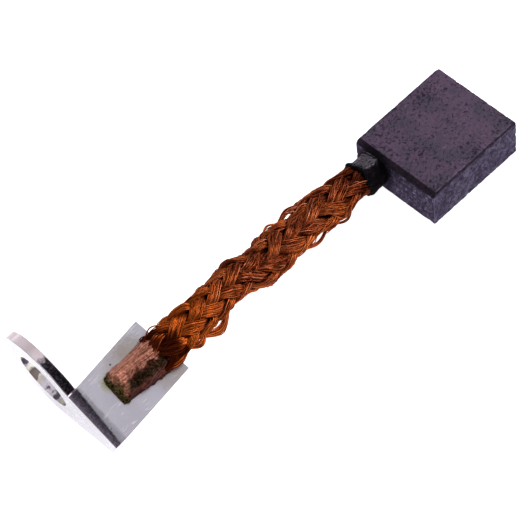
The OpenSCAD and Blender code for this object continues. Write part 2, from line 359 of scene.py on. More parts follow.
def cement_material(block):
    """Tamped graphite cement: near black and crumbly, with a painted grey highlight by the block, on its upper left,
    where it is also smoother.
    """
    material, tree, shader = new_material("tamped cement")
    place = millimetres(tree)
    x = add(tree, "ShaderNodeSeparateXYZ", place)
    normal = add(tree, "ShaderNodeNewGeometry", read="Normal")
    facing = add(tree, "ShaderNodeSeparateXYZ", normal).node.outputs
    lump = add(tree, "noise", place, 1.3, 4.0, 0.6)
    crumbs = add(tree, "noise", place, 4.0, 4.0, 0.7)
    # a painted grey highlight by the block, on the upper left where the collar faces up; it is a little smoother
    # there too
    by_block = add(tree, "mask", add(tree, "MULTIPLY_ADD", lump, 2.0, x), -10.1, -8.9)
    upward = add(tree, "MULTIPLY_ADD", facing[1], 0.5, add(tree, "MULTIPLY", facing[2], 0.86))
    upward = add(tree, "mask", add(tree, "MULTIPLY_ADD", lump, 0.5, upward), 0.82, 1.12)
    highlight_and_smooth = joined(tree, "MULTIPLY", by_block, upward, add(tree, "mask", facing[1], 0.9, 0.62))
    tone = add(tree, "mix", highlight_and_smooth, mottled(tree, block.cement, crumbs, 0.35, 0.68, 0.4, 1.7),
               mottled(tree, block.cement_highlight, crumbs, 0.34, 0.66, 0.08, 0.77))
    finished(tree, shader, tone, add(tree, "MULTIPLY_ADD", highlight_and_smooth, -0.2, 0.65), crumbs, 0.8, 0.09)
    shader.inputs["Metallic"].default_value = 0.9
    shader.inputs["Specular Tint"].default_value = block.cement_sheen
    return material


def wire_material(lead):
    """Drawn copper wire, browned by air, orange where the weld heated it and scorched next to the slug."""
    material, tree, shader = new_material("drawn copper wire")
    along = add(tree, "ShaderNodeAttribute", attribute_name="along", read="Fac")
    wire = add(tree, "ShaderNodeAttribute", attribute_name="wire", read="Fac")
    place = millimetres(tree)
    streak = add(tree, "noise", place, 1.6, 3.0)
    # every wire keeps a tone of its own, and a few are rubbed bare
    own = add(tree, "ShaderNodeTexWhiteNoise", W=add(tree, "MULTIPLY", wire, 91.7), noise_dimensions="1D")
    bright = add(tree, "MULTIPLY_ADD", own, 0.55, add(tree, "MULTIPLY", streak, 0.5))
    tone = add(tree, "mix", add(tree, "mask", bright, 0.3, 0.75), lead.dull, lead.bright)
    tone = add(tree, "mix", add(tree, "mask", own, 0.86, 0.94, 0.4), tone, lead.rubbed)
    # golden in broad patches, and along the lower edge where the braid lies slack
    patch = add(tree, "mask", add(tree, "noise", place, 0.33, 2.0), 0.5, 0.6, 0.45)
    tone = add(tree, "mix", patch, tone, lead.golden)
    height = add(tree, "DOT_PRODUCT", place, LEAD_RISE)
    low = add(tree, "mask", add(tree, "MULTIPLY_ADD", streak, 1.6, height), 4.9, 4.1, 0.75)
    low = joined(tree, "MULTIPLY", low, add(tree, "mask", height, 2.55, 3.05),
                 add(tree, "mask", along, 22.0, 26.0), add(tree, "mask", along, 40.0, 36.0))
    tone = add(tree, "mix", low, tone, add(tree, "mix", own, tinted(lead.golden, 0.6), tinted(lead.golden, 1.6)))
    # dull near the cement, and orange where the weld heated it
    tone = add(tree, "mix", add(tree, "mask", along, 36.5, 42.5, 0.45), tone, tinted(lead.dull, 0.8))
    cold = add(tree, "MULTIPLY_ADD", add(tree, "noise", place, 0.5, 3.0), 10.0, along)
    orange = add(tree, "mix", own, tinted(lead.heated, 0.5), tinted(lead.heated, 1.28))
    tone = add(tree, "mix", add(tree, "mask", cold, 22.0, 8.0, 0.75), tone, orange)
    # scorched all over for the first millimetre, in patches up to the third, and by the slug's lower corner
    near = add(tree, "mask", along, 3.8, 0.2)
    burnt = add(tree, "MULTIPLY_ADD", add(tree, "noise", place, 0.42, 2.0), 1.6, near)
    corner = RING_MIDDLE + terminal_turn() @ (SLUG_FOOT + Vector((SLUG_LENGTH + 0.4, -SLUG_BACK_WIDTH / 2, 1.0)))
    by_corner = add(tree, "mask", add(tree, "DISTANCE", place, corner), 3.2, 1.2, 0.7)
    burnt = add(tree, "MULTIPLY_ADD", own, -0.5, add(tree, "ADD", burnt, by_corner))
    tone = add(tree, "mix", add(tree, "mask", burnt, 0.9, 1.35, 0.94), tone, lead.scorched)
    finished(tree, shader, tone, add(tree, "MULTIPLY_ADD", streak, 0.2, 0.26))
    shader.inputs["Metallic"].default_value = 0.97
    # browned copper stays brown towards the edge of a wire
    shader.inputs["Specular Tint"].default_value = lead.sheen
    return material


def slug_material(slug):
    """Copper pressed and welded: bare and pink on top, burnt on one side, crusted green-brown in front."""
    material, tree, shader = new_material("welded copper")
    place = millimetres(tree)
    local = add(tree, "ShaderNodeAttribute", attribute_name="place", read="Vector")
    ahead, across, above = add(tree, "ShaderNodeSeparateXYZ", local).node.outputs
    coarse = add(tree, "noise", place, 0.8, 4.0, 0.6)
    fine = add(tree, "noise", place, 4.2, 5.0, 0.75)
    # the pressed wires show as long strands that sway a little, with painted shade in the seams between them and
    # painted highlights along them
    sway = add(tree, "MULTIPLY_ADD", add(tree, "noise", place, 0.5, 1.0), 1.2, across)
    bent = add(tree, "ShaderNodeCombineXYZ", ahead, sway, above)
    drawn = add(tree, "ShaderNodeMapping", Vector=bent, Scale=(0.14, 4.4, 4.4))
    strands = add(tree, "noise", drawn, 1.0, 2.0, 0.5)
    tone = mottled(tree, slug.copper, fine, 0.34, 0.66, 0.6, 1.45)
    tone = add(tree, "mix", add(tree, "mask", strands, 0.5, 0.6, 0.7), tone, slug.seam)
    tone = add(tree, "mix", add(tree, "mask", strands, 0.42, 0.34, 0.6), tone, tinted(slug.copper, 1.9))
    # burnt from a third of the length on the side away from the ring, and all round at the back
    wavy = add(tree, "MULTIPLY_ADD", coarse, 3.2, across)
    slant = add(tree, "SUBTRACT", ahead, across)
    patch = add(tree, "MULTIPLY", add(tree, "mask", wavy, 2.1, 1.3), add(tree, "mask", slant, 1.5, 2.9))
    back = add(tree, "mask", add(tree, "MULTIPLY_ADD", coarse, 2.0, ahead), 7.6, 9.2, 0.9)
    burnt = add(tree, "MAXIMUM", patch, back)
    char = add(tree, "mix", add(tree, "mask", fine, 0.4, 0.62), tinted(slug.burnt, 0.9), tinted(slug.seam, 1.6))
    # charred black, with brown ash, in the middle of the burn
    core = joined(tree, "MULTIPLY", add(tree, "mask", wavy, 1.6, 0.9), add(tree, "mask", across, -2.0, -1.1),
                  add(tree, "mask", ahead, 0.8, 1.8))
    black = add(tree, "mix", add(tree, "mask", fine, 0.46, 0.64), slug.char, slug.ash)
    tone = add(tree, "mix", burnt, tone, add(tree, "mix", core, char, black))
    # the crust on the front end is in crumbs, with painted shade for the holes between them, and a few pale crumbs
    crust = add(tree, "mask", add(tree, "MULTIPLY_ADD", coarse, 1.8, ahead), 2.05, 1.35)
    crumbs = mottled(tree, slug.verdigris, add(tree, "noise", place, 2.6, 3.0, 0.6), 0.4, 0.6, 0.12, 1.5)
    crumbs = add(tree, "mix", add(tree, "mask", fine, 0.6, 0.68), crumbs, tinted(slug.verdigris, 3.2))
    tone = add(tree, "mix", crust, tone, crumbs)
    worn = add(tree, "MAXIMUM", burnt, crust)
    gloss = add(tree, "MULTIPLY_ADD", worn, 0.08, add(tree, "MULTIPLY_ADD", fine, 0.3, 0.28))
    finished(tree, shader, tone, gloss, add(tree, "MULTIPLY_ADD", strands, -0.6, fine), 0.8, 0.07)
    tree.links.new(add(tree, "MULTIPLY_ADD", worn, 0.07, 0.9), shader.inputs["Metallic"])
    return material


# Stains on the flag: colour, place from the middle of the ring's hole, reach, raggedness and strength
FLAG_STAINS = (
    ("scorch", (9.6, -4.9), 2.6, 2.4, 0.6),
    ("scorch", (7.6, -5.6), 3.4, 1.2, 0.45),
    ("scorch", (11.6, -10.6), 3.6, 2.4, 0.5),
    ("verdigris", (4.75, -6.2), 1.5, 1.2, 0.7),
    ("spatter", (6.46, -4.63), 0.17, 0.0, 1.0),
)


def flag_spot(tree, local, fine, where, reach, ragged, strength):
    """A mask for a stain on the flag's upper face that fades out at its reach, in mm."""
    off = add(tree, "DISTANCE", local, (*where, FLAG_TOP))
    off = add(tree, "MULTIPLY_ADD", fine, ragged, off)
    return add(tree, "mask", off, reach + ragged / 2, 0.35 * reach + ragged / 2, strength)


def scratch_lines(tree, local, x, y):
    """Scratches in two directions, in patches, and thickest along the flag's edges.

    Real ones are a few hundredths of a millimetre wide; these are 0.2 mm, so that they show.
    """
    lines = []
    for turn, seed in ((28, 0.0), (-40, 30.0)):
        drawn = add(tree, "ShaderNodeMapping", Vector=local, Location=(seed, seed, 0.0),
                    Rotation=(0.0, 0.0, math.radians(turn)), Scale=(0.5, 4.4, 1.0))
        lines.append(add(tree, "mask", add(tree, "noise", drawn, 1.0, 3.0, 0.6), 0.57, 0.64))
    inward = joined(tree, "MINIMUM", add(tree, "SUBTRACT", FLAG_END, x), add(tree, "SUBTRACT", FLAG_NEAR, y),
                    add(tree, "SUBTRACT", y, FLAG_FAR))
    gather = add(tree, "noise", local, 0.5, 2.0)
    gather = add(tree, "MULTIPLY_ADD", add(tree, "MAXIMUM", inward, 0.0), -0.035, gather)
    return add(tree, "MULTIPLY", add(tree, "MAXIMUM", *lines), add(tree, "mask", gather, 0.4, 0.5))


def tin_material(terminal):
    """Rolled steel sheet, tinned: a soft grey gloss, scratched, stained by the weld and bare on its bend."""
    material, tree, shader = new_material("tinned steel sheet")
    local = add(tree, "ShaderNodeAttribute", attribute_name="place", read="Vector")
    x, y, z = add(tree, "ShaderNodeSeparateXYZ", local).node.outputs
    cloud = add(tree, "noise", local, 0.35, 3.0)
    fine = add(tree, "noise", local, 3.5, 4.0, 0.7)
    tone = mottled(tree, terminal.tin, cloud, 0.35, 0.65, 0.95, 1.03)
    # the ring's outer face is a little darker
    tone = add(tree, "mix", add(tree, "mask", x, 0.07, 0.03), tone, tinted(terminal.tin, 0.74))
    lines = scratch_lines(tree, local, x, y)
    tone = add(tree, "mix", add(tree, "MULTIPLY", lines, 0.6), tone, terminal.scratch)
    # brown beside the slug's back on the ring's side, with specks, yellow-green in front of its foot, and
    # one black spatter
    specks = add(tree, "mask", add(tree, "noise", local, 3.6, 3.0, 0.7), 0.6, 0.68)
    specks = add(tree, "MULTIPLY", specks, flag_spot(tree, local, fine, (9.8, -4.9), 3.0, 1.5, 0.7))
    tone = add(tree, "mix", specks, tone, tinted(terminal.scorch, 0.25))
    for stain, *spot in FLAG_STAINS:
        tone = add(tree, "mix", flag_spot(tree, local, fine, *spot), tone, getattr(terminal, stain))
    # bare steel on the outside of the bend, which narrows towards the flag's far side, beside pitted tin
    fold = add(tree, "MULTIPLY", add(tree, "mask", y, -3.95, -4.1),
               add(tree, "mask", z, FOLD_RISE + 0.05, FOLD_RISE + 0.25))
    curl = add(tree, "MULTIPLY_ADD", y, -0.075, add(tree, "MULTIPLY_ADD", fine, 0.3, x))
    bend = add(tree, "MULTIPLY", add(tree, "mask", curl, 1.94, 1.64), fold)
    pitted = add(tree, "mask", add(tree, "noise", local, 2.6, 3.0, 0.7), 0.36, 0.56)
    frayed = joined(tree, "MULTIPLY", add(tree, "mask", curl, 1.69, 1.99), add(tree, "mask", x, 1.8, 1.4),
                    fold, pitted)
    # bare steel along the cut edge beside the bend, with a bright nick between them
    ragged = add(tree, "MULTIPLY_ADD", add(tree, "noise", local, 1.6, 4.0, 0.7), 2.4, y)
    edge = joined(tree, "MULTIPLY", add(tree, "mask", x, 0.1, 0.16), add(tree, "mask", x, 1.34, 1.28),
                  add(tree, "mask", z, 5.9, 6.1), add(tree, "mask", ragged, 3.4, 2.2),
                  add(tree, "mask", y, -3.9, -3.75))
    # the cut edges are paler, and darker on the ring's +Y side
    cut = joined(tree, "MULTIPLY", add(tree, "mask", x, 0.06, 0.12), add(tree, "mask", x, 1.36, 1.3),
                 add(tree, "SUBTRACT", 1.0, fold))
    rim = add(tree, "mix", fine, tinted(terminal.cut, 0.85), tinted(terminal.cut, 1.1))
    rim = add(tree, "mix", add(tree, "mask", y, 6.0, 6.7), rim, tinted(terminal.cut, 0.44))
    tone = add(tree, "mix", cut, tone, rim)
    tone = add(tree, "mix", bend, tone, mottled(tree, terminal.bare, fine, 0.36, 0.66, 0.65, 1.95))
    tone = add(tree, "mix", edge, tone, mottled(tree, terminal.bare, fine, 0.42, 0.66, 0.15, 1.1))
    # the hole's wall is patched cream and brown
    blot = add(tree, "noise", local, 0.3, 3.0, 0.55)
    wall = add(tree, "mix", add(tree, "mask", blot, 0.36, 0.4), tinted(terminal.bare, 0.9), tinted(terminal.tin, 1.1))
    wall = add(tree, "mix", add(tree, "mask", blot, 0.47, 0.5), wall, terminal.cream)
    wall = add(tree, "mix", add(tree, "mask", blot, 0.6, 0.63), wall, tinted(terminal.scorch, 0.6))
    hollow = add(tree, "LENGTH", add(tree, "ShaderNodeCombineXYZ", Y=y, Z=z))
    tone = add(tree, "mix", add(tree, "mask", hollow, 4.3, 4.24, 0.9), tone, wall)
    gloss = add(tree, "MULTIPLY_ADD", frayed, 0.6, add(tree, "MULTIPLY_ADD", cloud, 0.07, 0.24))
    gloss = add(tree, "MULTIPLY_ADD", add(tree, "MAXIMUM", bend, edge), 0.35, gloss)
    finished(tree, shader, tone, gloss, add(tree, "MULTIPLY_ADD", fine, 0.4, lines), 0.2, 0.012)
    # the pits are filled with matt white oxide
    tree.links.new(add(tree, "MULTIPLY_ADD", frayed, -0.75, 1.0), shader.inputs["Metallic"])
    return material


# ---------------------------------------------------------------- meshes


def clad(piece, material):
    """Gives a piece one material in place of any that it had."""
    piece.data.materials.clear()
    piece.data.materials.append(material)


def finish_piece(piece, material, slot, *nodes):
    """Puts a finished piece on the body, in place of its solids, with its material."""
    clad(piece, material)
    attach(piece, BODY)
    if nodes:
        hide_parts(*nodes)


def merged_copy(node, name):
    """A new object with a solid's mesh, its loose triangles joined."""
    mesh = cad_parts[node].data.copy()
    mesh.name = name
    mesh.materials.clear()
    copy = bpy.data.objects.new(name, mesh)
    bpy.context.scene.collection.objects.link(copy)
    work = bmesh.new()
    work.from_mesh(mesh)
    bmesh.ops.remove_doubles(work, verts=work.verts, dist=1e-6)
    bmesh.ops.recalc_face_normals(work, faces=work.faces)
    work.to_mesh(mesh)
    work.free()
    return copy


def applied(piece):
    """Turns a piece's modifiers into its plain mesh."""
    bpy.context.view_layer.update()
    solid = bpy.data.meshes.new_from_object(piece.evaluated_get(bpy.context.evaluated_depsgraph_get()))
    old = piece.data
    piece.modifiers.clear()
    piece.data = solid
    bpy.data.meshes.remove(old)


def remeshed(node, name, step, smooth_rounds, smoothing=0.5):
    """A copy of a solid with an even fine mesh, a little rounded at its edges."""
    piece = merged_copy(node, name)
    remesh = piece.modifiers.new("even mesh", "REMESH")
    remesh.mode = "VOXEL"
    remesh.voxel_size = step
    remesh.adaptivity = 0.0
    applied(piece)
    work = bmesh.new()
    work.from_mesh(piece.data)
    for _ in range(smooth_rounds):
        bmesh.ops.smooth_vert(work, verts=work.verts, factor=smoothing,
                              use_axis_x=True, use_axis_y=True, use_axis_z=True)
    bmesh.ops.recalc_face_normals(work, faces=work.faces)
    work.to_mesh(piece.data)
    work.free()
    piece.data.shade_smooth()
    return piece


def points_of(mesh):
    """A mesh's points, in metres."""
    co = np.empty(len(mesh.vertices) * 3)
    mesh.vertices.foreach_get("co", co)
    return co.reshape(-1, 3)


def normals_of(mesh):
    """The outward direction at each of a mesh's points."""
    no = np.empty(len(mesh.vertices) * 3, np.float32)
    mesh.vertices.foreach_get("normal", no)
    return no.reshape(-1, 3).astype(float)


def surface_of(piece):
    """Places in metres, outward directions, and places in millimetres of a piece's points."""
    points = points_of(piece.data)
    return points, normals_of(piece.data), points / MM


def set_points(mesh, points):
    """Moves a mesh's points to new places."""
    mesh.vertices.foreach_set("co", np.asarray(points, np.float32).ravel())
    mesh.update()


def noise_at(points_mm, scale, seed=0.0):
    """Smooth noise from -1 to 1 at each point, with features of 1/scale millimetres."""
    shift = Vector((seed * 7.3, seed * 3.1, seed * 5.7))
    return np.array([noise.noise(Vector(p) * scale + shift) for p in points_mm])


def lumpy(points_mm, layers):
    """Layers of noise added up, each with its height, scale and seed."""
    return sum(height * noise_at(points_mm, scale, seed) for height, scale, seed in layers)


def store(mesh, name, kind, values):
    """Keeps a value or a vector with each of a mesh's points."""
    attribute = mesh.attributes.new(name, kind, "POINT")
    attribute.data.foreach_set("vector" if kind == "FLOAT_VECTOR" else "value",
                               np.asarray(values, np.float32).ravel())


# ---------------------------------------------------------------- the terminal's frame and the lead's line

# All in millimetres. The terminal's own frame starts in the middle of the ring's hole, on its outer face.
RING_MIDDLE = Vector((-62.6, 10.2, 7.2316))
# the height at which the sheet starts to fold, the flag's upper face, and the flag's free edges
FOLD_RISE = 6.2
FLAG_TOP = 7.9
FLAG_END = 13.1
FLAG_NEAR = -3.85
FLAG_FAR = -12.75
# the slug on the flag: the middle of its front foot, its turn and its sizes
SLUG_FOOT = Vector((4.3, -7.45, FLAG_TOP))
SLUG_TURN = math.radians(-2.5)
SLUG_LENGTH = 8.0
SLUG_HEIGHT = 3.2
SLUG_BACK_WIDTH = 5.5
# the middle of the collar's rim, and the width of the lead in it
RIM = Vector((-11.2, 3.9, 3.25))
COLLAR_FLAT_D = 4.6
# how strongly the lead goes straight on from each end, as the handles of its curve, and its inset on the
# slug's back
LEAD_STIFFNESS = 8.0
END_INSET = 0.1
# how far each layer of the weave lies from the middle between them, in half thicknesses of a bundle, how
# much the edges of a bundle lead or trail it in a change of layers, and where the first column starts, in
# columns
WEAVE_SLACK = 1.32
EDGE_LEAD = 0.3
COLUMN_START = 0.25
# how far the bundles run on into the slug and into the collar, in mm
SLUG_OVERRUN = 1.4
COLLAR_OVERRUN = 0.4
# how far a bundle strays in short and in long waves, in mm, and how much it swells
SHORT_SWAY = 0.14
LONG_SWAY = 0.2
SWELL = 0.2
# how far beyond its own place a loose loop counts as lying along the lead, since it stands clear of the heat
LOOP_COOLNESS = 2.5


def terminal_turn():
    """The rotation from the terminal's own frame, +X from ring to flag and +Z up from the flag."""
    t = bpy.context.scene.brush_terminal
    return Matrix.Rotation(t.yaw, 3, "Z") @ Matrix.Rotation(-t.pitch, 3, "Y") @ Matrix.Rotation(t.twist, 3, "X")


def terminal_points(points_mm):
    """Points of the brush in the terminal's own frame, from the middle of its hole, in millimetres."""
    turn = np.array(terminal_turn())
    return (np.asarray(points_mm) - np.array(RING_MIDDLE)) @ turn


def slug_points(points_mm):
    """Points of the brush along, across and above the slug, from its front foot, in millimetres."""
    local = terminal_points(points_mm) - np.array(SLUG_FOOT)
    c, s = math.cos(SLUG_TURN), math.sin(SLUG_TURN)
    return np.stack([local[:, 0] * c + local[:, 1] * s, local[:, 1] * c - local[:, 0] * s, local[:, 2]], 1)


def ease(t):
    """Rises smoothly from 0 to 1 as t does."""
    return 0.5 - 0.5 * np.cos(np.pi * np.clip(t, 0, 1))


class LeadLine:
    """The curved line of the lead, with a sideways and an upward direction at each length along it."""

    def __init__(self):
        self.lead = lead = bpy.context.scene.brush_lead
        turn = terminal_turn()
        ahead = Vector((math.cos(SLUG_TURN), math.sin(SLUG_TURN), 0))
        first = RING_MIDDLE + turn @ (SLUG_FOOT + SLUG_LENGTH * ahead + Vector((0, 0, SLUG_HEIGHT / 2)))
        self.first_up = np.array(turn @ Vector((0, 0, 1)))
        self.posts = np.array([first, first + LEAD_STIFFNESS * (turn @ ahead),
                               RIM - Vector((LEAD_STIFFNESS, 0, 0)), RIM])
        self.table_t = np.linspace(0, 1, 241)
        steps = np.linalg.norm(np.diff(self.point(self.table_t), axis=0), axis=1)
        self.table_s = np.concatenate([[0], np.cumsum(steps)])
        self.total = self.table_s[-1]
        self.full = np.array([lead.width, lead.thick]) / MM

    def unbowed(self, t):
        """Places on the plain curve between the slug and the collar."""
        t = np.asarray(t)[:, None]
        p = self.posts
        return (1 - t) ** 3 * p[0] + 3 * (1 - t) ** 2 * t * p[1] + 3 * (1 - t) * t * t * p[2] + t ** 3 * p[3]

    def point(self, t):
        """Places on the lead's line, with its bow."""
        place = self.unbowed(t)
        place[:, 1] += self.lead.bow / MM * np.sin(np.pi / 2 * np.minimum(2, t / self.lead.bow_place)) ** 2
        return place

    def turns(self, s):
        """Turns that a bundle has made around the braid at lengths s."""
        first, last = MM / self.lead.slug_end_lay, MM / self.lead.collar_end_lay
        return s * first + (last - first) * s * s / (2 * self.total)

    def ahead(self, t):
        """Directions along the plain curve."""
        t = np.asarray(t)[:, None]
        p = self.posts
        v = (1 - t) ** 2 * (p[1] - p[0]) + 2 * (1 - t) * t * (p[2] - p[1]) + t * t * (p[3] - p[2])
        return v / np.linalg.norm(v, axis=1)[:, None]

    def at(self, s):
        """Place, direction, side and up at lengths s, also a little beyond both ends."""
        s = np.asarray(s, float)
        t = np.interp(s, self.table_s, self.table_t)
        beyond = s - np.clip(s, 0, self.total)
        ahead = self.ahead(t)
        place = self.point(t) + ahead * beyond[:, None]
        upward = self.first_up * (1 - t)[:, None] + np.array([0, 0, 1.0]) * t[:, None]
        side = np.cross(ahead, upward)
        side /= np.linalg.norm(side, axis=1)[:, None]
        return t, place, ahead, side, np.cross(side, ahead)

    def size(self, s):
        """Width and thickness of the braid at lengths s."""
        lead = self.lead
        away = np.abs(s / self.total - lead.slack_place)
        width = self.full[0] + lead.slack / MM * ease((lead.slack_reach - away) / lead.slack_fade)
        full = np.stack([width, np.full_like(width, self.full[1])], 1)
        slug_end = np.array([SLUG_BACK_WIDTH, SLUG_HEIGHT]) - 2 * END_INSET
        collar_end = np.array([COLLAR_FLAT_D, COLLAR_FLAT_D])
        gather = lead.gather / MM
        a = ease(s / gather)[:, None]
        b = ease(1 - (self.total - s) / gather)[:, None]
        return (slug_end * (1 - a) + full * a) * (1 - b) + collar_end * b


# How the slack braid strays from the even one: length along the lead, stray to the lead's upper left, and
# its width as a share of the even width
STRAYS = (
    (0, 0.15, 1.0), (2, 0.16, 1.02), (6, 0.0, 0.94), (8.5, -0.24, 0.94), (12, -0.03, 0.94), (15, 0.16, 0.97),
    (16.5, 0.3, 0.97), (18.5, -0.22, 1.0), (20, -0.4, 1.0), (21.5, -0.35, 0.93), (24, 0.19, 1.02),
    (27.5, 0.4, 0.96), (30, 0.33, 1.02), (33, 0.45, 0.98), (36, 0.15, 1.02), (40, 0.18, 0.97), (43.2, 0.05, 1.0),
)
# Slack spots: length along the lead, reach each way, side (1 for upper left), how far the braid's own edge
# is drawn in, how far the loose wires stand off the unbowed line, half the width of their band, and how
# many they are; lengths in mm
SLACK_SPOTS = (
    (8.5, 3.0, -1, -0.2, 2.86, 0.54, 22),
    (4.7, 1.8, -1, 0.0, 2.62, 0.44, 16),
    (31.3, 2.3, -1, 0.75, 2.66, 0.24, 12),
    (37.8, 2.0, -1, 0.1, 2.88, 0.16, 6),
    (30.6, 2.9, 1, 1.45, 3.12, 0.38, 20),
    (29.6, 2.2, 1, 0.1, 3.05, 0.14, 5),
    (26.1, 2.1, 1, 0.45, 3.3, 0.12, 6),
    (0.6, 1.7, 1, 0.0, 3.1, 0.06, 2),
    (0.8, 2.0, -1, 0.0, 2.6, 0.4, 8),
)
# the direction from the object to the camera
VIEW_BACK = np.array([-0.38311, -0.43532, 0.81469])
# the direction in which the lead's upper left edge lies from its lower right one, along its second half
LEAD_RISE = (0.009, 0.88, 0.475)


def screen_side(ahead):
    """The direction across the lead, in the plane in which the lead is seen, to the upper left."""
    side = np.cross(VIEW_BACK, ahead)
    return side / np.linalg.norm(side, axis=1)[:, None]


def bundle_path(line, way, index, count):
    """Middle, half width and half thickness of a bundle at even lengths along the lead, in mm."""
    lead = line.lead
    s = np.linspace(-SLUG_OVERRUN, line.total + COLLAR_OVERRUN, count)
    t, place, ahead, side, up = line.at(s)
    size = line.size(np.clip(s, 0, line.total))
    strays = np.array(STRAYS)
    size[:, 0] *= np.interp(s, strays[:, 0], strays[:, 2])
    half = lead.bundle_thick / 2
    step = WEAVE_SLACK * half
    column = 2 * np.pi * ((index + COLUMN_START) / BUNDLES_EACH_WAY + way * line.turns(s))
    turn = lead.slug_end_turn * (1 - t) + lead.collar_end_turn * t
    turns = BUNDLES_EACH_WAY / 2

    def point(offset, lift):
        layer = way * step * np.sin(np.pi / 2 * np.cos(turns * (column + EDGE_LEAD * offset)))
        radius = (1 - step - half + layer + lift)[:, None]
        where = turn + column + offset
        return place + radius * (side * (np.cos(where) * size[:, 0])[:, None]
                                 + up * (np.sin(where) * size[:, 1])[:, None]) / 2

    middle = point(0.0, 0.0)
    across = (point(lead.bundle_angle / 2, 0.0) - point(-lead.bundle_angle / 2, 0.0)) / 2
    lift = point(0.0, half) - middle
    # the braid's edge is drawn in beside each loose loop
    screen = screen_side(ahead)
    out = np.einsum("ij,ij->i", middle - place, screen)
    for where, reach, way_out, drawn, _, _, _ in SLACK_SPOTS:
        near = np.exp(-((s - where) / (0.8 * reach)) ** 2)
        edge = np.clip(way_out * out / (size[:, 0] / 2), 0, 1) ** 2
        middle = middle - screen * (way_out * drawn * near * edge)[:, None]
    middle = middle + screen * np.interp(s, strays[:, 0], strays[:, 1])[:, None]
    fade = (ease((s + 0.2) / 2.5) * ease((line.total - s) / 2.0))[:, None]
    seed = index + (20 if way > 0 else 50)
    along = np.stack([s, s * 0, s * 0], 1)
    sway = np.stack([noise_at(along, 0.42, seed + k * 9.7) for k in range(3)], 1)
    slow = np.stack([noise_at(along, 0.16, seed + 3 + k * 5.1) for k in range(3)], 1)
    middle = middle + fade * (SHORT_SWAY * sway + LONG_SWAY * slow)
    swell = 1 + SWELL * noise_at(along, 0.3, seed + 1.7)
    return s, middle, across * swell[:, None], lift


def loop_path(line, spot, strand, count):
    """Middle, half width and half thickness of the loose wires of a slack spot, in mm."""
    where, reach, way_out, _, stand_off, half_width, _ = spot
    s = np.linspace(where - 1.45 * reach, where + 1.45 * reach, count)
    t, place, ahead, _, _ = line.at(s)
    size = line.size(np.clip(s, 0, line.total))
    screen = screen_side(ahead)
    centre = np.einsum("ij,ij->i", place - line.unbowed(t), screen)
    rise = ease(1 - np.abs(s - where) / (1.35 * reach)) ** 0.7
    inner = 0.66 * size[:, 0] / 2
    out = inner + (stand_off - way_out * centre - inner) * rise
    depth = 0.5 * np.sin((s - where) / reach * 1.3 + strand)
    middle = place + screen * (way_out * out)[:, None] + VIEW_BACK * depth[:, None]
    across = screen * half_width * (0.7 + 0.3 * rise)[:, None]
    lift = np.tile(VIEW_BACK * 0.25, (count, 1))
    return s + LOOP_COOLNESS, middle, across, lift


def path_object(name, path):
    """An object of one open polyline that carries its half width and half thickness, in metres."""
    s, middle, across, lift = path
    mesh = bpy.data.meshes.new(name)
    mesh.from_pydata([tuple(p * MM) for p in middle], [(i, i + 1) for i in range(len(s) - 1)], [])
    store(mesh, "across", "FLOAT_VECTOR", across * MM)
    store(mesh, "lift", "FLOAT_VECTOR", lift * MM)
    store(mesh, "along", "FLOAT", s)
    piece = bpy.data.objects.new(name, mesh)
    bpy.context.scene.collection.objects.link(piece)
    return piece


GOLDEN_ANGLE = math.radians(137.508)
# how far apart the wires' waves are taken from the noise, and how far a wire strays as a share of its wander:
# at least, and on top of that for the few that stray furthest; a higher rarity makes them fewer
WAVES_APART = 3.71
STRAY_LEAST = 0.75
STRAY_FURTHEST = 2.6
STRAY_RARITY = 6.0


